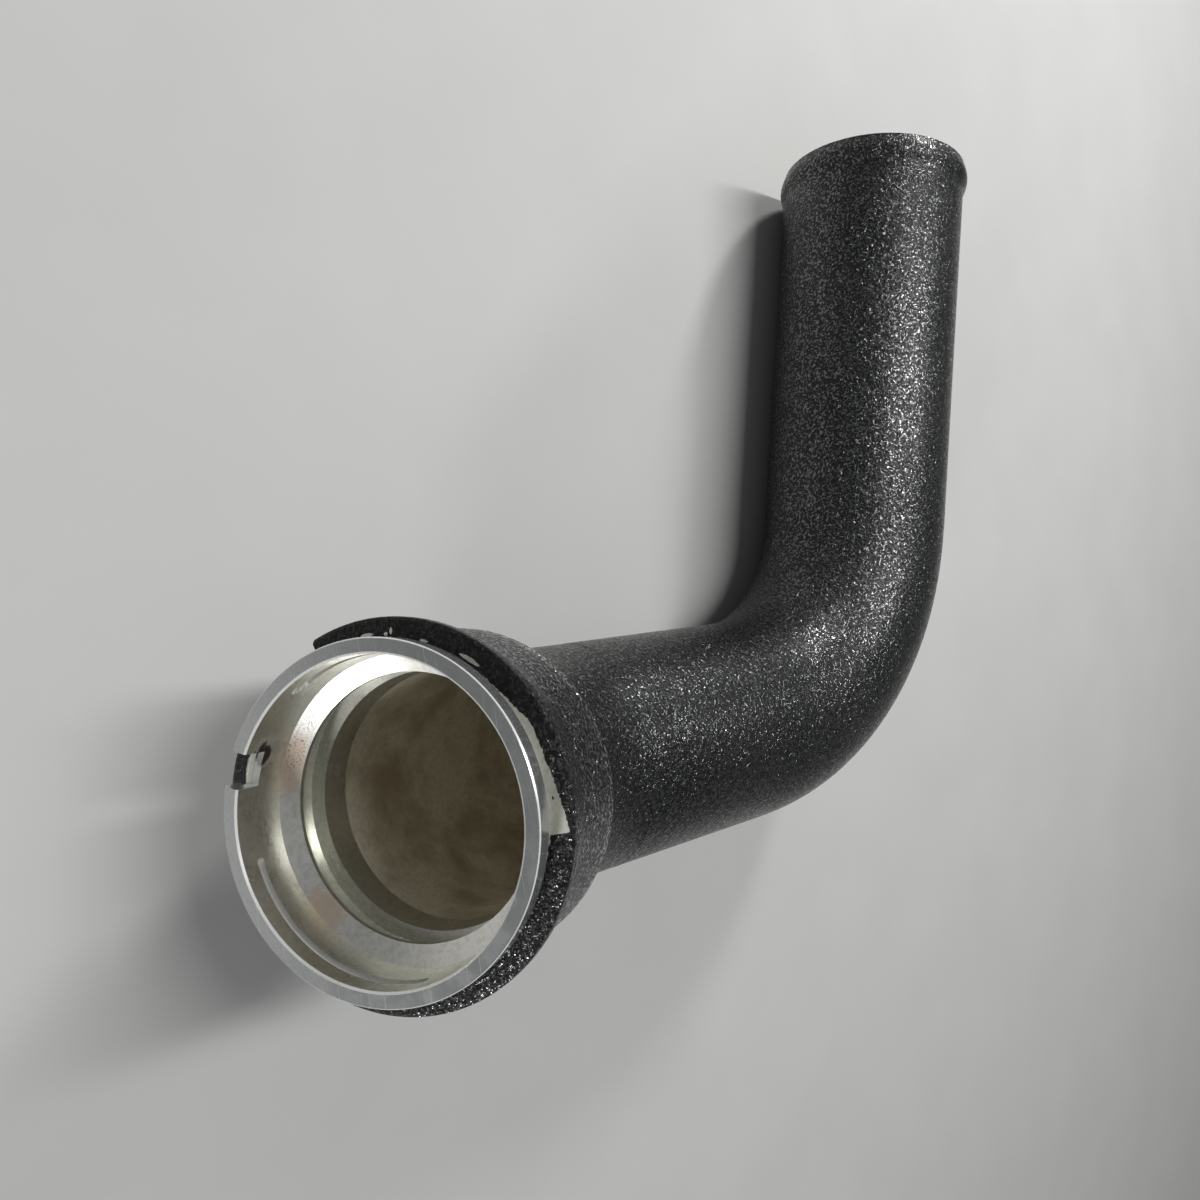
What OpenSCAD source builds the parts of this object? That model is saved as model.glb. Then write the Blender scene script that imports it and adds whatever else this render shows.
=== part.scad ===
// Intercooler pipe: one bent aluminium tube with a rolled hose bead at one end and a turned
// quick-connect socket welded to the other. Millimetres.
// The hose end's face is centred on the origin and opens towards +X. +Z is up.
// The hose leg, the elbow and the middle leg lie flat. The neck bend lifts the socket off the floor.

/* [Tube] */
// outside diameter of the tube
tube_od = 63.5; // [60:0.5:70]
// wall thickness of the tube
tube_wall = 2; // [1.5:0.1:2.5]
// centre-line radius that both bends share
bend_radius = 70; // [66:1:90]
// straight length from the hose end to the elbow
hose_leg = 129.5; // [110:0.5:160]
// angle of the elbow
elbow_angle = 82.5; // [70:0.5:95]
// straight length between the two bends
middle_leg = 60.2; // [45:0.1:90]
// turn of the tube about its own axis between the two bends
plane_turn = 77.5; // [60:0.5:90]
// angle of the neck bend behind the socket
neck_angle = 33.5; // [20:0.5:40]
// straight length from the neck bend to the socket's mouth
socket_leg = 46; // [46:0.5:60]
// how far the mandrel draws the bent wall in from each face
bend_draw = 0.06; // [0.05:0.01:0.15]

/* [Hose end] */
// height of the rolled bead above the tube
bead_height = 1.25; // [0.8:0.05:2]
// length of the bead along the tube
bead_length = 11; // [9:0.1:14]
// distance from the bead's crest to the tube's end
bead_setback = 4.4; // [2:0.1:5]

/* [Socket outside] */
// outside diameter of the bare rim at the mouth
rim_od = 71.2; // [70.6:0.1:73]
// length of the bare rim, mouth to clip groove
rim_length = 4.1; // [3:0.1:6]
// width of the groove that the wire clip lies in
clip_groove_width = 2.3; // [2:0.1:3]
// depth of the clip groove below the rim
clip_groove_depth = 1.2; // [0.8:0.1:1.4]
// outside diameter of the collar behind the clip groove
collar_od = 79.5; // [78:0.1:84]
// thickness of the collar at its edge
collar_thickness = 3.1; // [2:0.1:4]
// outside diameter of the waist behind the collar
waist_od = 74.2; // [72:0.1:74.4]
// outside diameter of the rear shoulder
shoulder_od = 75.1; // [74.8:0.1:77]
// distance from the mouth to the waist
waist_depth = 20; // [16:0.5:24]
// distance from the mouth to the crest of the rear shoulder
shoulder_depth = 35.5; // [30:0.5:37]
// length of the socket
socket_length = 40; // [38:0.5:40]

/* [Socket inside] */
// diameter of the mouth bore
mouth_bore = 64.6; // [64:0.1:66]
// width of the small chamfer at the mouth
mouth_chamfer = 0.4; // [0.2:0.1:0.8]
// depth of the mouth bore
mouth_depth = 13.1; // [11:0.1:15]
// length of the cone that leads in to the seal bore
lead_in_length = 2; // [1.5:0.1:3]
// diameter of the seal bore
seal_bore = 56.6; // [55:0.1:58]
// length of the land in front of the seal groove
land_length = 1; // [0.8:0.1:2]
// outside diameter of the seal groove
seal_groove_od = 62.6; // [60:0.1:63]
// width of the seal groove
seal_groove_width = 6.8; // [5:0.1:8]
// depth of the shoulder that the tube's end faces
tube_stop_depth = 31.5; // [29:0.5:34]

/* [Clip slots and notch] */
// width of the slots that the clip's wire passes through
slot_width = 2; // [1.6:0.1:2.2]
// arc that each slot covers
slot_arc = 84.5; // [60:0.5:90]
// angle from the notch to the near end of each slot
slot_start = 35.3; // [25:0.1:45]
// width of the notch in the rim
notch_width = 7.5; // [5:0.1:9]
// depth of the notch from the mouth
notch_depth = 6.2; // [5:0.1:6.2]
// where the notch stands round the mouth, measured from the neck bend's axis
notch_clock = 114.4; // [90:0.1:140]

/* [Collar gaps] */
// arc of each gap in the collar, centred on the near end of a slot
clip_gap_arc = 23.6; // [16:0.2:30]
// depth of the gaps below the collar's edge
clip_gap_depth = 2.4; // [1.5:0.1:2.4]
// rounding of the collar's corners beside the gaps
clip_gap_corner = 1.2; // [0.6:0.1:2]

/* [Weld and fits] */
// length of the weld bead along the tube
weld_length = 5.8; // [4:0.1:6]
// height of the weld bead on the socket's rear face
weld_height = 2.7; // [2:0.1:3]
// play on the radius between the tube and its seat in the socket
tube_seat_play = 0.05; // [0.03:0.01:0.15]
// gap between the tube's end and the shoulder in the socket
tube_end_gap = 0.3; // [0.1:0.1:0.6]

/* [Hidden] */
$fn = 96;
tube_r = tube_od / 2;
bore_r = tube_r - tube_wall;
bead_half = bead_length / 2;
groove_start = rim_length;
collar_face = rim_length + clip_groove_width;
collar_back = collar_face + collar_thickness;
rim_r = rim_od / 2;
groove_r = rim_r - clip_groove_depth;
collar_r = collar_od / 2;
waist_r = waist_od / 2;
shoulder_r = shoulder_od / 2;
gap_floor_r = collar_r - clip_gap_depth;
rear_r = tube_r + tube_seat_play + weld_height + 0.5;
mouth_r = mouth_bore / 2;
seal_r = seal_bore / 2;
seal_groove_r = seal_groove_od / 2;
land_start = mouth_depth + lead_in_length;
seal_groove_start = land_start + land_length;
seal_groove_end = seal_groove_start + seal_groove_width;
seat_r = tube_r + tube_seat_play;
slot_middle = groove_start + clip_groove_width / 2;
cutter_play = 0.1;
tube_seated = socket_leg - tube_stop_depth - tube_end_gap;
bend_run_in = 1.2;
bead_steps = 14;
blend_steps = 10;

// Height of the rolled bead at a distance from its crest: a cosine hump.
function bead_rise(offset) =
    abs(offset) >= bead_half ? 0 : bead_height * (1 + cos(180 * offset / bead_half)) / 2;

// One edge of the bead's wall, from its start to the tube's end, as points of radius and length.
function bead_edge(radius) = [
    for (i = [0 : bead_steps])
        let (along = -bead_half + i * (bead_half + bead_setback) / bead_steps)
        [radius + bead_rise(along), bead_setback - along]
];

// Smooth blend from one turned diameter to the next, as points of radius and depth.
function blend(r_from, r_to, from, to) = [
    for (i = [1 : blend_steps])
        let (t = i / blend_steps)
        [r_from + (r_to - r_from) * (1 - cos(180 * t)) / 2, from + (to - from) * t]
];

// Rounding of the rear shoulder, which leaves its crest level and falls ever faster.
function round_off(r_from, r_to, from, to) = [
    for (i = [1 : blend_steps])
        let (t = i / blend_steps)
        [r_to + (r_from - r_to) * cos(90 * t), from + (to - from) * t]
];

// Puts what follows at the far end of a bend that turns to the right.
module after_bend(angle)
    translate([bend_radius * sin(angle), -bend_radius * (1 - cos(angle)), 0])
        rotate([0, 0, -angle])
            children();

// Straight length of tube from the origin along +X.
module straight_tube(length)
    rotate([0, 90, 0])
        difference() {
            cylinder(h = length, r = tube_r);
            translate([0, 0, -1])
                cylinder(h = length + 2, r = bore_r);
        }

// Bend of the tube from the origin, which starts along +X and turns to the right. It runs a little
// way into the straight wall at both ends, so that bend and straights are one piece.
module tube_bend(angle)
    translate([0, -bend_radius, 0])
        rotate([0, 0, 90 - angle - bend_run_in])
            rotate_extrude(angle = angle + 2 * bend_run_in)
                translate([bend_radius, 0])
                    difference() {
                        circle(r = tube_r - bend_draw);
                        circle(r = bore_r + bend_draw);
                    }

// Rolled bead at the hose end: the wall swells outwards and comes back just before the edge.
module rolled_end()
    rotate([0, 90, 0])
        rotate_extrude()
            polygon(concat(
                bead_edge(tube_r),
                [for (i = [bead_steps : -1 : 0]) bead_edge(bore_r)[i]]
            ));

// Carries what follows from the hose end, round both bends, to the centre of the socket's mouth.
module at_mouth()
    rotate([0, 0, 180])
        translate([hose_leg, 0, 0])
            after_bend(elbow_angle)
                translate([middle_leg, 0, 0])
                    rotate([-plane_turn, 0, 0])
                        after_bend(neck_angle)
                            translate([socket_leg, 0, 0])
                                rotate([0, -90, 0])
                                    children();

// The tube in one piece: rolled end, hose leg, elbow, middle leg, neck bend and the end that is
// pushed into the socket.
module bent_tube()
    color([0.07, 0.07, 0.07])
        rotate([0, 0, 180]) {
            rolled_end();
            translate([bead_half + bead_setback, 0, 0])
                straight_tube(hose_leg - bead_half - bead_setback);
            translate([hose_leg, 0, 0]) {
                tube_bend(elbow_angle);
                after_bend(elbow_angle) {
                    straight_tube(middle_leg);
                    translate([middle_leg, 0, 0])
                        rotate([-plane_turn, 0, 0]) {
                            tube_bend(neck_angle);
                            after_bend(neck_angle)
                                straight_tube(tube_seated);
                        }
                }
            }
        }

// Turned section of the socket, radius against depth from the mouth.
module socket_section()
    polygon(concat(
        [
            [mouth_r + mouth_chamfer, 0],
            [rim_r - 0.3, 0],
            [rim_r, 0.3],
            [rim_r, groove_start],
            [groove_r, groove_start],
            [groove_r, collar_face],
            [collar_r - 0.8, collar_face + 0.15],
            [collar_r - 0.15, collar_face + 0.4],
            [collar_r, collar_face + 0.8],
            [collar_r, collar_back - 0.5],
            [collar_r - 0.4, collar_back]
        ],
        blend(collar_r - 0.4, waist_r, collar_back, waist_depth),
        blend(waist_r, shoulder_r, waist_depth, shoulder_depth),
        round_off(shoulder_r, rear_r, shoulder_depth, socket_length),
        [
            [seat_r, socket_length],
            [seat_r, tube_stop_depth],
            [seal_r, tube_stop_depth],
            [seal_r, seal_groove_end + 0.8],
            [seal_groove_r, seal_groove_end],
            [seal_groove_r, seal_groove_start],
            [seal_r, seal_groove_start],
            [seal_r, land_start],
            [mouth_r, mouth_depth],
            [mouth_r, mouth_chamfer]
        ]
    ));

// One long slot through the wall of the clip groove, milled with a round cutter.
module clip_slot(from) {
    rotate([0, 0, from])
        rotate_extrude(angle = slot_arc)
            translate([mouth_r - 1, slot_middle - slot_width / 2])
                square([rim_r + 1 - mouth_r, slot_width]);
    for (end = [from, from + slot_arc])
        rotate([0, 0, end])
            translate([mouth_r - 1, 0, slot_middle])
                rotate([0, 90, 0])
                    cylinder(h = rim_r + 1 - mouth_r, r = slot_width / 2 + cutter_play, $fn = 32);
}

// Gap in the collar, where the bent end of the clip's wire comes out. Its corners are rounded.
module collar_gap(middle)
    translate([0, 0, collar_face - 1])
        rotate([0, 0, middle]) {
            rotate([0, 0, -clip_gap_arc / 2])
                rotate_extrude(angle = clip_gap_arc)
                    translate([gap_floor_r, 0])
                        square([clip_gap_depth + 2, waist_depth - collar_face + 1]);
            for (side = [0, 1])
                mirror([0, side, 0])
                    rotate([0, 0, clip_gap_arc / 2])
                        linear_extrude(waist_depth - collar_face + 1)
                            translate([collar_r - clip_gap_corner, clip_gap_corner])
                                polygon(concat(
                                    [[-0.3, -clip_gap_corner - 0.15]],
                                    [for (a = [-72 : 18 : -18]) clip_gap_corner * [cos(a), sin(a)]],
                                    [
                                        [clip_gap_corner + 0.5, 0.3],
                                        [clip_gap_corner + 0.5, -clip_gap_corner - 0.15]
                                    ]
                                ));
        }

// Square notch that keeps the mating spigot from turning, cut back almost to the collar's face.
module rim_notch()
    rotate([0, 0, notch_clock])
        translate([mouth_r - 3, -notch_width / 2, -1])
            cube([rim_r - mouth_r + 4, notch_width, notch_depth + 1]);

// Quick-connect socket, turned from one bar: bare rim, clip groove, collar, waist and shoulder
// outside, and mouth bore, lead-in cone, seal groove and tube seat inside.
module socket()
    color([0.72, 0.72, 0.70])
        at_mouth()
            difference() {
                rotate_extrude($fn = 144)
                    socket_section();
                clip_slot(notch_clock + slot_start);
                clip_slot(notch_clock - slot_start - slot_arc);
                collar_gap(notch_clock + slot_start);
                collar_gap(notch_clock - slot_start);
                rim_notch();
            }

// Weld bead in the corner between the socket's rear face and the tube.
module weld_bead()
    color([0.09, 0.09, 0.09])
        at_mouth()
            rotate_extrude()
                polygon(concat(
                    [[tube_r, socket_length]],
                    [for (i = [0 : 8])
                        let (a = 90 * i / 8)
                        [
                            tube_r + weld_height * cos(a) ^ 0.85,
                            socket_length + weld_length * sin(a)
                        ]
                    ]
                ));

bent_tube();
socket();
weld_bead();
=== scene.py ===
# %% [markdown]
# # Intercooler pipe
# The object is a charge-air pipe for an engine bay: one aluminium tube with two bends, a rolled
# bead at the hose end and a turned socket welded to the other end. It is coated outside with a
# black wrinkle powder coat. The socket's mouth and everything inside it stays bare metal.
# The shapes come from the CAD model and stay as they are. This lesson gives them their finishes,
# the floor, the light and the camera. Lengths in the scene are metres, and patterns count in
# millimetres, because that is how a coat or a tool mark is measured.

# %% Load the pipe
import math
import bpy
from mathutils import Matrix, Vector

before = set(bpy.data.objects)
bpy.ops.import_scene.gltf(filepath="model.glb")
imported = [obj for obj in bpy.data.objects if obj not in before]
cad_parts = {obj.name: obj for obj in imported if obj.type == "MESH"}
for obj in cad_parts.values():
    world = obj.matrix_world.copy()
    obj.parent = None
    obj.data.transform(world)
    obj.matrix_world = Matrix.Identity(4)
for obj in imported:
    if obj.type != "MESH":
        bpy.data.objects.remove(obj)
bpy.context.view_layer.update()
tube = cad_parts["bent_tube"]
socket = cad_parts["socket"]
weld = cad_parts["weld_bead"]
MM = 0.001


# %% [markdown]
# ## Where the tube runs
# Several finishes need to know where they are on the pipe: the coat is outside, the raw metal
# inside, and tool marks run round the socket's axis. So the pipe's centre line is walked here once,
# from the hose end to the socket's mouth, with the same lengths and angles that a tube bender
# would be given. Each place on the walk is a matrix whose x axis is the way ahead.

# %% Walk the centre line
TUBE_OUTER = 31.75
TUBE_INNER = 29.75
BEND_RADIUS = 70.0
HOSE_LEG = 129.5
MIDDLE_LEG = 60.2
SOCKET_LEG = 46.0
ELBOW = math.radians(82.5)
NECK = math.radians(33.5)
PLANE_TURN = math.radians(77.5)


def straight_on(place, length):
    """The place at the far end of a straight."""
    return place @ Matrix.Translation((length, 0, 0))


def after_bend(place, angle):
    """The place at the far end of a bend that turns to the right."""
    step = Vector((BEND_RADIUS * math.sin(angle), -BEND_RADIUS * (1 - math.cos(angle)), 0))
    return place @ Matrix.Translation(step) @ Matrix.Rotation(-angle, 4, "Z")


hose_end = Matrix.Rotation(math.pi, 4, "Z")
elbow_start = straight_on(hose_end, HOSE_LEG)
elbow_end = after_bend(elbow_start, ELBOW)
neck_start = straight_on(elbow_end, MIDDLE_LEG) @ Matrix.Rotation(-PLANE_TURN, 4, "X")
neck_end = after_bend(neck_start, NECK)
mouth = straight_on(neck_end, SOCKET_LEG) @ Matrix.Rotation(-math.pi / 2, 4, "Y")
print("centre of the socket's mouth in mm:", [round(v, 2) for v in mouth.translation])

# %% [markdown]
# ## Wiring helpers
# A material is a set of small boxes joined by wires. These helpers keep the wiring readable: each
# adds one box, wires or sets its inputs, and hands back its result. The first ones work on numbers
# and vectors.

# %% Helpers for numbers and vectors


def plug(tree, target, value):
    """Wires another box's output to an input, or sets the input's own value."""
    if isinstance(value, bpy.types.NodeSocket):
        tree.links.new(value, target)
    else:
        target.default_value = value


def calc(tree, operation, *values):
    """One number from others."""
    node = tree.nodes.new("ShaderNodeMath")
    node.operation = operation
    for target, value in zip(node.inputs, values):
        plug(tree, target, value)
    return node.outputs[0]


def times(tree, first, *others):
    """Several numbers multiplied. Of masks, it is where all of them are on."""
    for other in others:
        first = calc(tree, "MULTIPLY", first, other)
    return first


def any_of(tree, first, *others):
    """The highest of several numbers. Of masks, it is where any of them is on."""
    for other in others:
        first = calc(tree, "MAXIMUM", first, other)
    return first


def vector_calc(tree, operation, *values):
    """One vector, or a number such as a length, from vectors."""
    node = tree.nodes.new("ShaderNodeVectorMath")
    node.operation = operation
    for target, value in zip(node.inputs, values):
        plug(tree, target, value)
    gives_number = operation in ("LENGTH", "DISTANCE", "DOT_PRODUCT")
    return node.outputs["Value" if gives_number else "Vector"]


def scaled(tree, vector, factor):
    """A vector times one number."""
    node = tree.nodes.new("ShaderNodeVectorMath")
    node.operation = "SCALE"
    plug(tree, node.inputs[0], vector)
    plug(tree, node.inputs["Scale"], factor)
    return node.outputs["Vector"]


def joined(tree, x, y, z):
    """One vector from three numbers."""
    node = tree.nodes.new("ShaderNodeCombineXYZ")
    for target, value in zip(node.inputs, (x, y, z)):
        plug(tree, target, value)
    return node.outputs[0]


# %% [markdown]
# ## Helpers for masks, colours and noise
# A mask is a number from 0 to 1 that says where a finish is. Spread turns a measure such as a
# depth into one, with a soft edge, and the mixes blend two numbers or colours by it. Cloudy noise
# is what makes a real surface uneven.

# %% Helpers for masks, colours and noise


def spread(tree, value, low, high, to_low=0.0, to_high=1.0, smooth=True):
    """Stretches a value from one range to another and stops at its ends."""
    node = tree.nodes.new("ShaderNodeMapRange")
    node.interpolation_type = "SMOOTHSTEP" if smooth else "LINEAR"
    names = ("Value", "From Min", "From Max", "To Min", "To Max")
    for name, setting in zip(names, (value, low, high, to_low, to_high)):
        plug(tree, node.inputs[name], setting)
    return node.outputs["Result"]


def mix_value(tree, share, first, second):
    """A number between two others."""
    node = tree.nodes.new("ShaderNodeMix")
    for slot, value in ((0, share), (2, first), (3, second)):
        plug(tree, node.inputs[slot], value)
    return node.outputs[0]


def mix_colour(tree, share, first, second):
    """A colour between two others."""
    node = tree.nodes.new("ShaderNodeMix")
    node.data_type = "RGBA"
    plug(tree, node.inputs[0], share)
    for target, value in ((node.inputs[6], first), (node.inputs[7], second)):
        plug(tree, target, value if isinstance(value, bpy.types.NodeSocket) else (*value, 1.0))
    return node.outputs[2]


def cloud(tree, point, scale, detail=2.0, roughness=0.5, distortion=0.0):
    """Cloudy noise from 0 to 1, with about this many lumps to a unit of the point."""
    node = tree.nodes.new("ShaderNodeTexNoise")
    plug(tree, node.inputs["Vector"], point)
    plug(tree, node.inputs["Scale"], scale)
    plug(tree, node.inputs["Detail"], detail)
    plug(tree, node.inputs["Roughness"], roughness)
    plug(tree, node.inputs["Distortion"], distortion)
    return node.outputs["Fac"]


# %% [markdown]
# ## Helpers for groups and materials
# A node group is a small machine with named inputs and outputs that can be placed in any material.
# The last helper starts a material and hands over the place on the piece in millimetres.

# %% Helpers for groups and materials


def new_group(name, inputs, outputs):
    """A node group with named inputs and outputs. Inputs are name: (kind, value)."""
    tree = bpy.data.node_groups.new(name, "ShaderNodeTree")
    for label, (kind, value) in inputs.items():
        item = tree.interface.new_socket(label, in_out="INPUT", socket_type="NodeSocket" + kind)
        if value is not None:
            item.default_value = value
    for label, kind in outputs.items():
        tree.interface.new_socket(label, in_out="OUTPUT", socket_type="NodeSocket" + kind)
    take = tree.nodes.new("NodeGroupInput").outputs
    give = tree.nodes.new("NodeGroupOutput").inputs
    return tree, take, give


def use_group(tree, group, **inputs):
    """Places a group in a tree. An underscore in an input's name stands for a space."""
    node = tree.nodes.new("ShaderNodeGroup")
    node.node_tree = group
    for label, value in inputs.items():
        plug(tree, node.inputs[label.replace("_", " ")], value)
    return node.outputs


def new_material(name):
    """A new material, its nodes, its Principled shader and the place on the piece in millimetres."""
    material = bpy.data.materials.new(name)
    material.use_nodes = True
    tree = material.node_tree
    shader = tree.nodes["Principled BSDF"]
    place = tree.nodes.new("ShaderNodeTexCoord").outputs["Object"]
    return material, tree, shader, scaled(tree, place, 1 / MM)


# %% [markdown]
# ## The black wrinkle coat
# Wrinkle powder coat shrinks as it bakes, so it dries in small worm-like lumps one or two
# millimetres across. Where the pipe's side faces the lamp, thousands of lumps flash, and where it
# doesn't, the coat looks a soft, even black. Two things make that here. The lumps and a finer grit
# are relief. On top of them lie small flecks that mirror like metal: they shine only towards a lamp
# and stay dim in the shade, where a painted white speckle would show. The same coat is on the tube,
# the weld and the socket, so it is one group.

# %% Powder coat group
COAT_DARK = (0.0055, 0.0058, 0.0052)
COAT_LIGHT = (0.0095, 0.0098, 0.0088)
FLECK_GREY = (0.165, 0.168, 0.168)
FLECK_SHIFT = (31.0, 17.0, 5.0)  # moves the flecks' noise, so that they don't repeat the lumps

coat_tree, take, give = new_group(
    "powder_coat",
    {"Point": ("Vector", None), "Lumps per mm": ("Float", 0.62)},
    {"Color": "Color", "Roughness": "Float", "Fleck": "Float", "Height": "Float"},
)
point = take["Point"]
lumps = cloud(coat_tree, point, take["Lumps per mm"], detail=2.0, roughness=0.55, distortion=0.9)
from_middle = calc(coat_tree, "ABSOLUTE", calc(coat_tree, "SUBTRACT", lumps, 0.5))
ridges = spread(coat_tree, from_middle, 0.0, 0.13, 1.0, 0.0)
grit = times(coat_tree, cloud(coat_tree, point, 1.2, detail=1.0), 0.8)
plug(coat_tree, give["Height"], calc(coat_tree, "MULTIPLY_ADD", ridges, 0.45, grit))

shifted = vector_calc(coat_tree, "ADD", point, FLECK_SHIFT)
fleck_noise = cloud(coat_tree, shifted, 1.25, detail=1.5, roughness=0.6, distortion=0.6)
flecks = spread(coat_tree, fleck_noise, 0.525, 0.585)
plug(coat_tree, give["Fleck"], flecks)
plug(coat_tree, give["Roughness"], mix_value(coat_tree, flecks, 0.30, 0.17))

patches = spread(coat_tree, cloud(coat_tree, point, 0.03), 0.35, 0.65)
body = mix_colour(coat_tree, patches, COAT_DARK, COAT_LIGHT)
plug(coat_tree, give["Color"], mix_colour(coat_tree, flecks, body, FLECK_GREY))
print("powder coat group:", len(coat_tree.nodes), "nodes")

# %% [markdown]
# ## Bare aluminium
# A lathe tool leaves fine grooves that run round the axis, and handling adds cloudy patches and
# thin scratches. The grooves are a noise that changes only with the radius and the depth, so that
# it draws rings. The scratches are a noise stretched to long thin streaks.

# %% Scratches
SCRATCH_STRETCH = (0.06, 5.5, 5.5)  # noise squeezed two ways and drawn out the third


def scratches(tree, point, turn, amount):
    """Thin straight scratches along one direction."""
    node = tree.nodes.new("ShaderNodeMapping")
    plug(tree, node.inputs["Vector"], point)
    node.inputs["Rotation"].default_value = turn
    node.inputs["Scale"].default_value = SCRATCH_STRETCH
    streaks = cloud(tree, node.outputs[0], 1.0, detail=1.0, roughness=0.4)
    return spread(tree, streaks, amount, amount + 0.05)


# %% Turned aluminium group
ROUGH_TURNED = 0.42
ROUGH_POLISHED = 0.12
WORN_GREY = (0.50, 0.50, 0.48)
SCRATCH_WHITE = (0.93, 0.93, 0.91)

metal_tree, take, give = new_group(
    "turned_aluminium",
    {
        "Point": ("Vector", None),
        "Radius": ("Float", 0.0),
        "Depth": ("Float", 0.0),
        "Tint": ("Color", (0.78, 0.77, 0.74, 1.0)),
        "Polish": ("Float", 0.5),
    },
    {"Color": "Color", "Roughness": "Float", "Height": "Float"},
)
point = take["Point"]
by_ring = joined(metal_tree, take["Radius"], take["Depth"], 0.0)
rings = cloud(metal_tree, by_ring, 3.5, detail=3.0, roughness=0.7)
scratched = any_of(
    metal_tree,
    scratches(metal_tree, point, (0.3, 0.9, 0.5), 0.71),
    scratches(metal_tree, point, (1.2, -0.4, 2.1), 0.72),
)

smudges = cloud(metal_tree, point, 0.16, detail=3.0, roughness=0.6)
haze = spread(metal_tree, smudges, 0.35, 0.7)
rough = mix_value(metal_tree, take["Polish"], ROUGH_TURNED, ROUGH_POLISHED)
for effect, amount in ((haze, 0.06), (rings, 0.06), (scratched, 0.15)):
    rough = calc(metal_tree, "MULTIPLY_ADD", effect, amount, rough)
plug(metal_tree, give["Roughness"], rough)

handling = cloud(metal_tree, point, 0.9, detail=3.0, roughness=0.65)
handled = spread(metal_tree, handling, 0.4, 0.7, 0.0, 0.7)
worn = mix_colour(metal_tree, 0.5, take["Tint"], WORN_GREY)
tinted = mix_colour(metal_tree, handled, take["Tint"], worn)
bright = times(metal_tree, scratched, 0.25)
plug(metal_tree, give["Color"], mix_colour(metal_tree, bright, tinted, SCRATCH_WHITE))

grooves = times(metal_tree, rings, 0.5)
plug(metal_tree, give["Height"], calc(metal_tree, "MULTIPLY_ADD", scratched, -0.6, grooves))
print("turned aluminium group:", len(metal_tree.nodes), "nodes")

# %% [markdown]
# ## Inside or outside of the tube
# The tube is one solid, so one material has to cover both its coated outside and its raw inside.
# What tells them apart is the distance to the centre line: 31.75 mm outside and 29.75 mm inside.
# A straight leg's centre line is a segment, and a bend's is an arc of a ring, so there is a small
# group for each.

# %% Distance to a leg
leg_tree, take, give = new_group(
    "distance_to_leg",
    {
        "Point": ("Vector", None),
        "Start": ("Vector", None),
        "Direction": ("Vector", None),
        "Length": ("Float", 1.0),
    },
    {"Distance": "Float"},
)
offset = vector_calc(leg_tree, "SUBTRACT", take["Point"], take["Start"])
along = vector_calc(leg_tree, "DOT_PRODUCT", offset, take["Direction"])
along = calc(leg_tree, "MINIMUM", calc(leg_tree, "MAXIMUM", along, 0.0), take["Length"])
nearest = scaled(leg_tree, take["Direction"], along)
plug(leg_tree, give["Distance"], vector_calc(leg_tree, "DISTANCE", offset, nearest))
print("distance to a leg:", len(leg_tree.nodes), "nodes")

# %% Distance to a bend
FAR_AWAY = 1000.0

bend_tree, take, give = new_group(
    "distance_to_bend",
    {name: ("Vector", None) for name in ("Point", "Centre", "Axis", "From", "To")},
    {"Distance": "Float"},
)
offset = vector_calc(bend_tree, "SUBTRACT", take["Point"], take["Centre"])
above = vector_calc(bend_tree, "DOT_PRODUCT", offset, take["Axis"])
flat = vector_calc(bend_tree, "SUBTRACT", offset, scaled(bend_tree, take["Axis"], above))
beside = calc(bend_tree, "SUBTRACT", vector_calc(bend_tree, "LENGTH", flat), BEND_RADIUS)
distance = vector_calc(bend_tree, "LENGTH", joined(bend_tree, beside, above, 0.0))
before_start = vector_calc(bend_tree, "DOT_PRODUCT", offset, take["From"])
past_end = vector_calc(bend_tree, "DOT_PRODUCT", offset, take["To"])
too_early = calc(bend_tree, "LESS_THAN", before_start, 0.0)
too_late = calc(bend_tree, "GREATER_THAN", past_end, 0.0)
missed = times(bend_tree, any_of(bend_tree, too_early, too_late), FAR_AWAY)
plug(bend_tree, give["Distance"], calc(bend_tree, "ADD", distance, missed))
print("distance to a bend:", len(bend_tree.nodes), "nodes")

# %% [markdown]
# ## The whole centre line
# The walk gives three legs and two bends. The distance to the centre line is the smallest of the
# distances to these five.

# %% Distance to the centre line


def direction(place):
    """The way that the tube runs at a place of the walk."""
    return (place.to_3x3() @ Vector((1, 0, 0))).normalized()


def bend_values(start, end):
    """What the bend group needs for a bend between two places of the walk."""
    return {
        "Centre": tuple(start @ Vector((0, -BEND_RADIUS, 0))),
        "Axis": tuple((start.to_3x3() @ Vector((0, 0, 1))).normalized()),
        "From": tuple(direction(start)),
        "To": tuple(direction(end)),
    }


def leg_values(start, length):
    """What the leg group needs for a straight that begins at a place of the walk."""
    return {
        "Start": tuple(start.translation),
        "Direction": tuple(direction(start)),
        "Length": length,
    }


spans = [
    (leg_tree, leg_values(hose_end, HOSE_LEG)),
    (bend_tree, bend_values(elbow_start, elbow_end)),
    (leg_tree, leg_values(elbow_end, MIDDLE_LEG)),
    (bend_tree, bend_values(neck_start, neck_end)),
    (leg_tree, leg_values(neck_end, SOCKET_LEG)),
]


def to_centre_line(tree, point):
    """Distance from a point to the whole centre line."""
    nearest = FAR_AWAY
    for group, values in spans:
        distance = use_group(tree, group, Point=point, **values)["Distance"]
        nearest = calc(tree, "MINIMUM", nearest, distance)
    return nearest


print("legs and bends in the centre line:", len(spans))

# %% [markdown]
# ## How every coated piece shines
# The same gloss and the same height of relief go to all three materials, so one helper wires a
# shader from a colour, a roughness, a metal share and a height. Bump turns the height into relief
# without moving the surface, which is right for wrinkles of a fifth of a millimetre.

# %% Helper for coated pieces
COAT_GLOSS = 0.3
COAT_RELIEF = 0.00021  # metres


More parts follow.
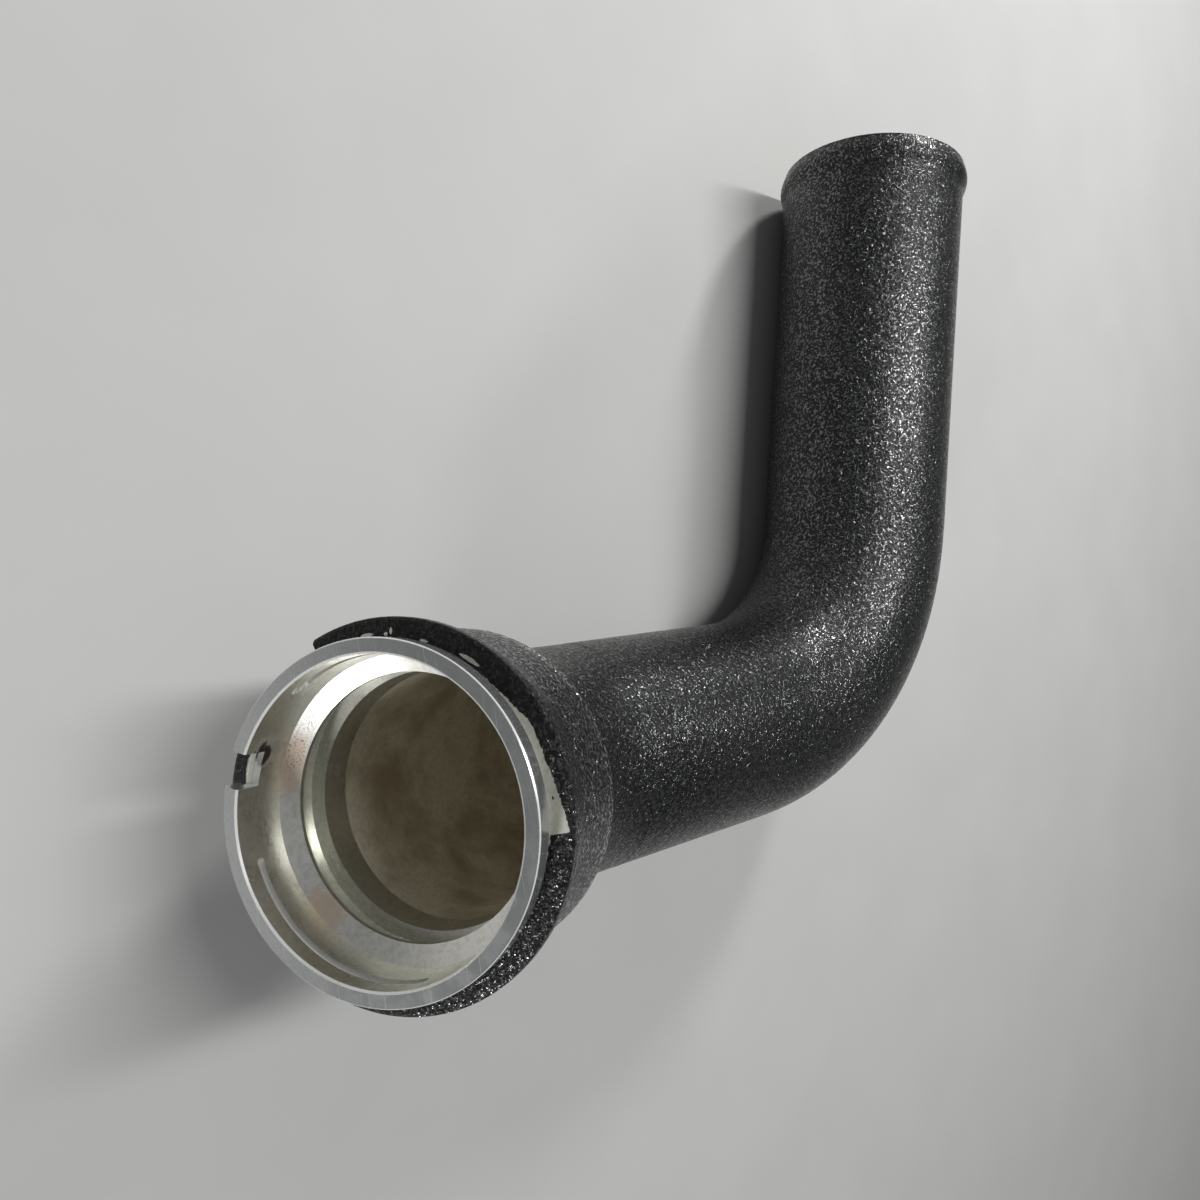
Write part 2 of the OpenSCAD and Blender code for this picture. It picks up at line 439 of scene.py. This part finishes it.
def dress(tree, shader, colour, roughness, metallic, height):
    """Wires a coated piece's shader."""
    plug(tree, shader.inputs["Base Color"], colour)
    plug(tree, shader.inputs["Roughness"], roughness)
    plug(tree, shader.inputs["Metallic"], metallic)
    shader.inputs["Specular IOR Level"].default_value = COAT_GLOSS
    bump = tree.nodes.new("ShaderNodeBump")
    bump.inputs["Distance"].default_value = COAT_RELIEF
    plug(tree, bump.inputs["Height"], height)
    plug(tree, shader.inputs["Normal"], bump.outputs[0])


# %% [markdown]
# ## The tube's finish
# Outside, the wrinkle coat. Inside, mill-finish aluminium that has gone dull and brownish. The
# coat's spray reached some 13 mm into the hose end, so the change lies inside it, with an uneven
# edge. The hose leg runs along the x axis, towards its minus side.

# %% Tube material
BORE_BROWN = (0.62, 0.54, 0.41)
BORE_PALE = (1.0, 0.94, 0.79)
BORE_METALLIC = 0.5


def split(tree, vector):
    """The three numbers of a vector."""
    node = tree.nodes.new("ShaderNodeSeparateXYZ")
    plug(tree, node.inputs[0], vector)
    return tuple(node.outputs)


tube_material, tree, shader, point = new_material("coated_tube")
coat = use_group(tree, coat_tree, Point=point)
along_hose = split(tree, point)[0]
stains = cloud(tree, point, 0.05, detail=4.0, roughness=0.6, distortion=0.2)
dullness = mix_colour(tree, spread(tree, stains, 0.36, 0.62), BORE_BROWN, BORE_PALE)
raw = use_group(tree, metal_tree, Point=point, Depth=along_hose, Tint=dullness, Polish=0.0)

middle_of_wall = (TUBE_OUTER + TUBE_INNER) / 2
inside = calc(tree, "LESS_THAN", to_centre_line(tree, point), middle_of_wall)
spray_noise = times(tree, cloud(tree, point, 0.3, detail=3.0, roughness=0.6), -8.0)
spray_end = calc(tree, "ADD", -9.0, spray_noise)
past_spray = spread(tree, along_hose, calc(tree, "ADD", spray_end, 1.2), spray_end)
inside = times(tree, inside, past_spray)

dress(
    tree,
    shader,
    colour=mix_colour(tree, inside, coat["Color"], raw["Color"]),
    roughness=mix_value(tree, inside, coat["Roughness"], raw["Roughness"]),
    metallic=mix_value(tree, inside, coat["Fleck"], BORE_METALLIC),
    height=mix_value(tree, inside, coat["Height"], times(tree, raw["Height"], 0.05)),
)
tube.material_slots[0].material = tube_material
print("tube material:", len(tree.nodes), "nodes")

# %% [markdown]
# ## The weld's finish
# The weld was coated with the rest, so it wears the coat and nothing else.

# %% Weld material
weld_material, tree, shader, point = new_material("coated_weld")
coat = use_group(tree, coat_tree, Point=point)
dress(tree, shader, coat["Color"], coat["Roughness"], coat["Fleck"], coat["Height"])
weld.material_slots[0].material = weld_material
print("weld material:", len(tree.nodes), "nodes")

# %% [markdown]
# ## Places on the socket
# The socket's marks are placed as a fitter would name them: how deep from the mouth, how far from
# the axis, and where on the clock. A Mapping node in its texture mode undoes the socket's place and
# turn, and what comes out is counted from the centre of the mouth.

# %% Socket place group
place_tree, take, give = new_group(
    "place_on_socket",
    {"Object": ("Vector", None)},
    {"Local": "Vector", "Radius": "Float", "Depth": "Float", "Clock": "Float"},
)
mapping = place_tree.nodes.new("ShaderNodeMapping")
mapping.vector_type = "TEXTURE"
mapping.inputs["Location"].default_value = mouth.translation
mapping.inputs["Rotation"].default_value = mouth.to_euler("XYZ")
plug(place_tree, mapping.inputs["Vector"], take["Object"])
across, up, inward = split(place_tree, mapping.outputs[0])
from_axis = vector_calc(place_tree, "LENGTH", joined(place_tree, across, up, 0.0))
angle = calc(place_tree, "ARCTAN2", up, across)
plug(place_tree, give["Local"], mapping.outputs[0])
plug(place_tree, give["Radius"], from_axis)
plug(place_tree, give["Depth"], inward)
plug(place_tree, give["Clock"], times(place_tree, angle, 180 / math.pi))
print("socket place group:", len(place_tree.nodes), "nodes")

# %% [markdown]
# ## Marks on the socket
# Chips, burrs, scorch and tarnish are all spots with a place and a size, so they share one group.
# It measures how far a point is from the spot's middle, in half sizes round, outward and inward,
# and adds noise so that the edge is ragged.

# %% Mark group
ARC_PER_DEGREE = 32.0 * math.pi / 180  # millimetres round the mouth


def uneven(tree, point, scale):
    """Fine cloudy noise that swings round 0, for ragged edges."""
    return calc(tree, "SUBTRACT", cloud(tree, point, scale, detail=4.0, roughness=0.7), 0.5)


mark_tree, take, give = new_group(
    "mark_on_socket",
    {
        "Point": ("Vector", None),
        "Radius": ("Float", 0.0),
        "Depth": ("Float", 0.0),
        "Clock": ("Float", 0.0),
        "At radius": ("Float", 32.3),
        "At depth": ("Float", 5.0),
        "At clock": ("Float", 0.0),
        "Half sizes": ("Vector", None),
        "Ragged": ("Float", 0.5),
        "Soft": ("Float", 0.25),
    },
    {"Mask": "Float"},
)
degrees = calc(mark_tree, "SUBTRACT", take["Clock"], take["At clock"])
degrees = calc(mark_tree, "WRAP", degrees, 180.0, -180.0)
round_way = times(mark_tree, degrees, ARC_PER_DEGREE)
outward = calc(mark_tree, "SUBTRACT", take["Radius"], take["At radius"])
inward = calc(mark_tree, "SUBTRACT", take["Depth"], take["At depth"])
offset = joined(mark_tree, round_way, outward, inward)
offset = vector_calc(mark_tree, "DIVIDE", offset, take["Half sizes"])
sizes_away = vector_calc(mark_tree, "LENGTH", offset)
raggedness = times(mark_tree, take["Ragged"], 2.0)
noise = uneven(mark_tree, take["Point"], 0.8)
sizes_away = calc(mark_tree, "MULTIPLY_ADD", noise, raggedness, sizes_away)
full_at = calc(mark_tree, "SUBTRACT", 1.0, take["Soft"])
plug(mark_tree, give["Mask"], spread(mark_tree, sizes_away, 1.0, full_at))
print("mark group:", len(mark_tree.nodes), "nodes")

# %% [markdown]
# ## The socket's finish
# The socket was masked when the pipe was coated, so its rim and everything inside it is bare metal
# and the rest is coated. Its material is built up over the next cells, one effect at a time, and
# wired to the shader in the last of them.

# %% Begin the socket's material
socket_material, tree, shader, point = new_material("coated_socket")
place = use_group(tree, place_tree, Object=point)
local, radius, depth, clock = (place[name] for name in ("Local", "Radius", "Depth", "Clock"))
coat = use_group(tree, coat_tree, Point=point)


def mark(at_radius, at_depth, at_clock, half_sizes, ragged=0.5, soft=0.25):
    """The mask of one mark, placed by radius, depth and clock in millimetres and degrees."""
    return use_group(
        tree, mark_tree, Point=local, Radius=radius, Depth=depth, Clock=clock,
        At_radius=at_radius, At_depth=at_depth, At_clock=at_clock,
        Half_sizes=half_sizes, Ragged=ragged, Soft=soft,
    )["Mask"]


def marks(table):
    """One mask for all the marks of a table."""
    return any_of(tree, *[mark(*row) for row in table])


print("socket material at the start:", len(tree.nodes), "nodes")

# %% [markdown]
# ## Where the coat ends
# The coat stops on the collar's front face. Its edge is ragged where the masking tape was torn off,
# and took a long wedge of coat with it on the side of the camera. How far out the bare metal
# reaches is a curve over the clock, with noise on it.

# %% Coat edge
COLLAR_FACE = 6.4
REACH_LOW = 34.0
REACH_SPAN = 6.0
# clock in degrees and how far out the bare metal reaches there in millimetres
WEDGE = [
    (-125, 34.7), (-116.2, 35.4), (-111.8, 36.3), (-99.6, 35.9),
    (-87.3, 37.1), (-78.4, 38.8), (-76.9, 34.8), (-70, 34.6),
]
wedge_from, wedge_to = WEDGE[0][0], WEDGE[-1][0]
spots = [
    ((degree - wedge_from) / (wedge_to - wedge_from), (reach - REACH_LOW) / REACH_SPAN)
    for degree, reach in WEDGE
]
wedge = tree.nodes.new("ShaderNodeFloatCurve")
curve = wedge.mapping.curves[0]
curve.points[0].location = spots[0]
curve.points[-1].location = spots[-1]
for spot in spots[1:-1]:
    curve.points.new(*spot)
for knot in curve.points:
    knot.handle_type = "VECTOR"
wedge.mapping.update()
plug(tree, wedge.inputs["Value"], spread(tree, clock, wedge_from, wedge_to, smooth=False))
reach = calc(tree, "MULTIPLY_ADD", wedge.outputs[0], REACH_SPAN, REACH_LOW)
reach = calc(tree, "MULTIPLY_ADD", uneven(tree, point, 0.9), 1.6, reach)
print("points of the coat's edge:", len(curve.points))

# %% [markdown]
# ## Coated and bare
# Behind the collar everything outside is coated. On the collar's face the coat starts past the
# ragged edge. A few chips show metal, a speck of coat was left on the bare wedge, and the patch
# behind the notch stayed bare.

# %% Coated and bare
# radius, depth, clock, half sizes (round, outward, inward), raggedness
CHIPS = [
    (35.85, 6.5, -139.5, (2.4, 0.5, 2.0), 0.3),
    (36.3, 6.5, -178.2, (1.5, 0.45, 2.0), 0.35),
    (36.2, 6.5, -171.2, (0.4, 0.5, 2.0), 0.3),
    (36.8, 6.5, -169.4, (0.3, 0.8, 2.0), 0.4),
    (35.6, 6.5, -157.0, (1.0, 0.35, 2.0), 0.4),
    (34.0, 6.5, 114.4, (7.0, 2.3, 2.0), 0.2),
]
SPECK = (35.8, 6.5, -88.1, (0.35, 0.25, 2.0), 0.3)

outside = spread(tree, radius, 33.2, 33.4)
past_edge = spread(tree, radius, reach, calc(tree, "ADD", reach, 0.12))
on_face = spread(tree, depth, COLLAR_FACE - 0.3, COLLAR_FACE - 0.1)
behind_face = spread(tree, depth, 8.0, 8.2)
face_coat = times(tree, past_edge, on_face, outside)
coated = any_of(tree, face_coat, times(tree, behind_face, outside))
coated = any_of(tree, calc(tree, "SUBTRACT", coated, marks(CHIPS)), mark(*SPECK))
bare = calc(tree, "SUBTRACT", 1.0, coated)
print("chips in the coat:", len(CHIPS))

# %% [markdown]
# ## Turned surfaces
# Each surface of the socket got its own cut. The bore and the rim are smooth, the lead-in cone is
# paler, and the collar's bare face is as dull as it came off the lathe.

# %% Polish and tint of the metal
BORE_POLISH = 0.6
RIM_POLISH = 0.72
CONE_POLISH = 0.4
BORE_TINT = (0.83, 0.83, 0.75)
RIM_TINT = (0.62, 0.63, 0.63)
CONE_TINT = (0.98, 0.96, 0.91)
COLLAR_TINT = (0.84, 0.83, 0.73)


def band(tree, value, start, full, fade, end):
    """A mask that comes up from start to full and goes down again from fade to end."""
    return times(tree, spread(tree, value, start, full), spread(tree, value, end, fade))


on_rim = spread(tree, radius, 32.45, 32.6)
on_collar = spread(tree, depth, COLLAR_FACE - 0.3, COLLAR_FACE)
on_cone = band(tree, depth, 13.0, 13.1, 15.1, 15.25)
outer_polish = calc(tree, "MULTIPLY_ADD", on_collar, -RIM_POLISH, RIM_POLISH)
polish = mix_value(tree, on_rim, BORE_POLISH, outer_polish)
polish = mix_value(tree, on_cone, polish, CONE_POLISH)
tint = mix_colour(tree, on_cone, BORE_TINT, CONE_TINT)
tint = mix_colour(tree, on_rim, tint, RIM_TINT)
tint = mix_colour(tree, times(tree, on_rim, on_collar), tint, COLLAR_TINT)
metal = use_group(
    tree, metal_tree, Point=local, Radius=radius, Depth=depth, Tint=tint, Polish=polish
)
print("polish of bore, rim and cone:", BORE_POLISH, RIM_POLISH, CONE_POLISH)

# %% [markdown]
# ## Painted shade and painted glints on the coat
# The upper part of the collar's face is painted blacker and its flecks are turned down there, as
# painted shade. On the crest of the rear shoulder, and a little on all that lies behind the collar,
# the flecks are painted paler, as painted glints.

# %% Coat on the socket
# The calm part is the upper part of the collar's face, which is painted blacker as painted shade.
SHADED_PART_CLOCK = 150.0  # the middle of the calm part, in degrees
PAINTED_SHADE_BLACK = (0.006, 0.006, 0.0065)
PAINTED_GLINT_GREY = (0.78, 0.79, 0.79)

away = calc(tree, "WRAP", calc(tree, "SUBTRACT", clock, SHADED_PART_CLOCK), 180.0, -180.0)
upper = spread(tree, calc(tree, "ABSOLUTE", away), 112.0, 92.0)
# Painted shade: a blacker colour and fewer flecks on the upper part of the collar's face.
painted_shade = times(tree, upper, spread(tree, depth, 8.6, 8.0))
socket_fleck = times(tree, coat["Fleck"], calc(tree, "MULTIPLY_ADD", painted_shade, -0.8, 1.0))
coat_colour = mix_colour(tree, times(tree, painted_shade, 0.85), coat["Color"], PAINTED_SHADE_BLACK)

# The flecks on the shoulder's crest, and a little behind the collar, are painted paler as painted
# glints.
crest = band(tree, depth, 32.0, 34.0, 36.6, 38.6)
behind_collar = times(tree, spread(tree, depth, 9.2, 11.0), 0.25)
painted_glints = times(tree, any_of(tree, crest, behind_collar), coat["Fleck"])
coat_colour = mix_colour(tree, painted_glints, coat_colour, PAINTED_GLINT_GREY)
print("socket material with its coat:", len(tree.nodes), "nodes")

# %% [markdown]
# ## Painted edge highlights
# Thin pale lines are painted on the mouth's inner and outer edges as painted highlights. The inside
# of the slots is painted pale as well, though less so, as painted light.

# %% Painted edge highlights
at_mouth = spread(tree, depth, 0.5, 0.35)
inner_edge = times(tree, spread(tree, radius, 32.75, 32.68), at_mouth)
outer_edge = times(tree, spread(tree, radius, 35.35, 35.45), at_mouth)
in_slots = times(
    tree,
    band(tree, radius, 32.4, 32.6, 33.8, 34.0),
    band(tree, depth, 3.0, 3.2, 7.2, 7.4),
    0.45,
)
# The mouth's edge lines and the slot insides are painted pale: painted highlights.
painted_edge_highlights = any_of(tree, inner_edge, outer_edge, in_slots)
print("socket material with its edges:", len(tree.nodes), "nodes")

# %% [markdown]
# ## Tarnish, dirt and burrs
# Reddish tarnish lies on the cone in two places, the upper one with fine dark speckles. The corner
# of the notch is scorched, with a smear that fades down the bore. The seal bore has a stain. Small
# white burrs stand at the start of the upper slot and on the rim by the notch.

# %% Tarnish, dirt and burrs
# radius, depth, clock, half sizes (round, outward, inward), raggedness, softness
TARNISH = [
    (30.5, 14.0, 115.0, (9.5, 4.0, 3.0), 0.5, 0.5),
    (30.5, 14.0, 52.0, (7.0, 4.0, 3.0), 0.5, 0.6),
]
SCORCH = [
    (32.3, 4.6, 122.0, (3.4, 3.0, 2.3), 0.9, 0.7),
    (32.3, 7.0, 118.5, (2.2, 3.0, 1.9), 0.9, 0.8),
    (32.9, 6.2, 119.8, (3.2, 2.0, 2.6), 0.3, 0.35),
]
SMEAR = (32.3, 8.0, 122.0, (3.6, 4.0, 6.5), 0.6, 1.0)
STAIN = (28.3, 26.5, 111.0, (3.0, 1.5, 2.4), 0.8, 0.9)
SPECKLED = (30.5, 14.0, 124.0, (11.0, 4.0, 2.5), 0.5, 0.6)
BURRS = [
    (32.3, 4.2, 149.6, (1.0, 2.0, 0.9), 0.4),
    (32.3, 5.9, 152.6, (0.8, 2.0, 0.6), 0.4),
    (32.3, 7.0, 155.6, (0.7, 2.0, 0.5), 0.4),
    (33.4, 0.2, 119.3, (0.5, 1.6, 0.9), 0.5),
]

tarnish = times(tree, marks(TARNISH), on_cone, 0.8)
speckles = spread(tree, cloud(tree, local, 2.6, detail=2.0, roughness=0.6), 0.56, 0.62)
dirt = any_of(
    tree,
    marks(SCORCH),
    times(tree, mark(*SMEAR), 0.6),
    times(tree, mark(*STAIN), 0.6),
    times(tree, speckles, mark(*SPECKLED), 0.75),
)
burrs = marks(BURRS)
print("places of tarnish, scorch and burrs:", len(TARNISH), len(SCORCH), len(BURRS))

# %% [markdown]
# ## Putting the socket together
# The metal's colour takes the tarnish first, then the dirt, then the pale burrs and the painted edge
# highlights. Dirt and burrs are rough and don't mirror, and the painted edge highlights don't mirror
# either. At the end the bare mask chooses between metal and coat, which stands one step of relief
# above the metal.

# %% Finish the socket's material
TARNISH_RED = (0.93, 0.73, 0.57)
DIRT_BROWN = (0.035, 0.024, 0.017)
BURR_AND_HIGHLIGHT_WHITE = (0.93, 0.93, 0.90)
METAL_METALLIC = 0.9
DIRT_METALLIC = 0.3
DIRT_ROUGHNESS = 0.55

# The pale white goes on the burrs and on the painted edge highlights.
pale = any_of(tree, burrs, painted_edge_highlights)
spoilt = any_of(tree, dirt, burrs)
metal_colour = mix_colour(tree, tarnish, metal["Color"], TARNISH_RED)
metal_colour = mix_colour(tree, dirt, metal_colour, DIRT_BROWN)
metal_colour = mix_colour(tree, pale, metal_colour, BURR_AND_HIGHLIGHT_WHITE)
metal_rough = mix_value(tree, spoilt, metal["Roughness"], DIRT_ROUGHNESS)
unmirrored = any_of(tree, spoilt, painted_edge_highlights)
metallic = mix_value(tree, unmirrored, METAL_METALLIC, DIRT_METALLIC)
coat_height = calc(tree, "ADD", coat["Height"], 1.0)
turned_height = times(tree, metal["Height"], 0.02)
metal_height = calc(tree, "MULTIPLY_ADD", burrs, 0.6, turned_height)
dress(
    tree,
    shader,
    colour=mix_colour(tree, bare, coat_colour, metal_colour),
    roughness=mix_value(tree, bare, coat["Roughness"], metal_rough),
    metallic=mix_value(tree, bare, socket_fleck, metallic),
    height=mix_value(tree, bare, coat_height, metal_height),
)
socket.material_slots[0].material = socket_material
print("socket material:", len(tree.nodes), "nodes")

# %% [markdown]
# ## The floor
# The pipe lies on a plain pale floor, with a faint cloudiness so that it isn't one flat grey. It is
# a large plane just under the pipe's lowest point. It belongs to the stage and not to the pipe.

# %% Floor
FLOOR_LEVEL = -33.01 * MM
FLOOR_SIZE = 12.0
FLOOR_DARK = (0.55, 0.55, 0.535)
FLOOR_LIGHT = (0.61, 0.61, 0.595)

bpy.ops.object.select_all(action="DESELECT")
bpy.ops.mesh.primitive_plane_add(size=FLOOR_SIZE, location=(0, 0, FLOOR_LEVEL))
floor = bpy.context.object
floor.name = "floor"
floor_material, tree, shader, point = new_material("pale_floor")
floor_colour = mix_colour(tree, cloud(tree, point, 0.02), FLOOR_DARK, FLOOR_LIGHT)
plug(tree, shader.inputs["Base Color"], floor_colour)
shader.inputs["Roughness"].default_value = 0.85
floor.data.materials.append(floor_material)
print("floor height in mm:", round(FLOOR_LEVEL / MM, 2))

# %% [markdown]
# ## The light
# A long narrow softbox above the pipe draws the bright streak along the coat, a small one at the
# side lights the elbow, and a third looks into the mouth. They are narrow because a wide lamp
# would turn the coat an even grey. A dim, slightly cool sky fills the shade.

# %% Light
PIPE_MIDDLE = Vector((-0.13, 0.09, 0.0))
UPRIGHT = (0.0, 0.0, 1.0)
# name, where it is seen from the pipe, which way its length runs, width, length, watts
SOFTBOXES = [
    ("overhead_softbox", (0.30, -0.16, 0.94), (0.0, 0.96, 0.17), 0.10, 0.75, 6.4),
    ("side_softbox", (0.84, -0.32, 0.44), UPRIGHT, 0.12, 0.16, 4.4),
    ("mouth_softbox", (-0.70, 0.66, 0.26), UPRIGHT, 0.14, 0.14, 2.8),
]
SKY_COLOUR = (0.95, 0.98, 1.0, 1.0)
SKY_STRENGTH = 0.15


def softbox(name, way, lengthways, width, length, watts):
    """A rectangular lamp one metre from the middle of the pipe, which it faces."""
    data = bpy.data.lights.new(name, "AREA")
    data.shape = "RECTANGLE"
    data.size = width
    data.size_y = length
    data.energy = watts
    lamp = bpy.data.objects.new(name, data)
    bpy.context.scene.collection.objects.link(lamp)
    outward = Vector(way).normalized()
    across = Vector(lengthways).cross(outward).normalized()
    axes = Matrix((across, outward.cross(across), outward)).transposed().to_4x4()
    lamp.matrix_world = Matrix.Translation(PIPE_MIDDLE + outward) @ axes


for values in SOFTBOXES:
    softbox(*values)

world = bpy.data.worlds.new("studio")
bpy.context.scene.world = world
world.use_nodes = True
sky = world.node_tree.nodes["Background"].inputs
sky["Color"].default_value = SKY_COLOUR
sky["Strength"].default_value = SKY_STRENGTH
print("softboxes:", len(SOFTBOXES), "and a sky of strength", SKY_STRENGTH)

# %% [markdown]
# ## The camera
# The camera looks down on the lying pipe, turned so that it sees the same side of it as the
# photograph does. Its place, its turn and its lens were found by fitting the outlines of the tube,
# the bead and the socket's rings to the photograph.

# %% Camera
EYE = (-0.16537, 0.26769, 0.19221)
TO_THE_RIGHT = (0.06044, -0.78400, 0.61781)
TO_THE_TOP = (0.99811, 0.05424, -0.02881)
TO_THE_BACK = (-0.01092, 0.61839, 0.78580)

camera_data = bpy.data.cameras.new("camera")
camera_data.sensor_width = 36.0
camera_data.lens = 25.67
camera_data.clip_start = 0.01
camera = bpy.data.objects.new("camera", camera_data)
bpy.context.scene.collection.objects.link(camera)
camera_turn = Matrix((TO_THE_RIGHT, TO_THE_TOP, TO_THE_BACK)).transposed().to_4x4()
camera.matrix_world = Matrix.Translation(EYE) @ camera_turn
bpy.context.scene.camera = camera
bpy.context.scene.view_settings.view_transform = "Standard"
print("camera height over the floor in mm:", round((EYE[2] - FLOOR_LEVEL) / MM, 1))
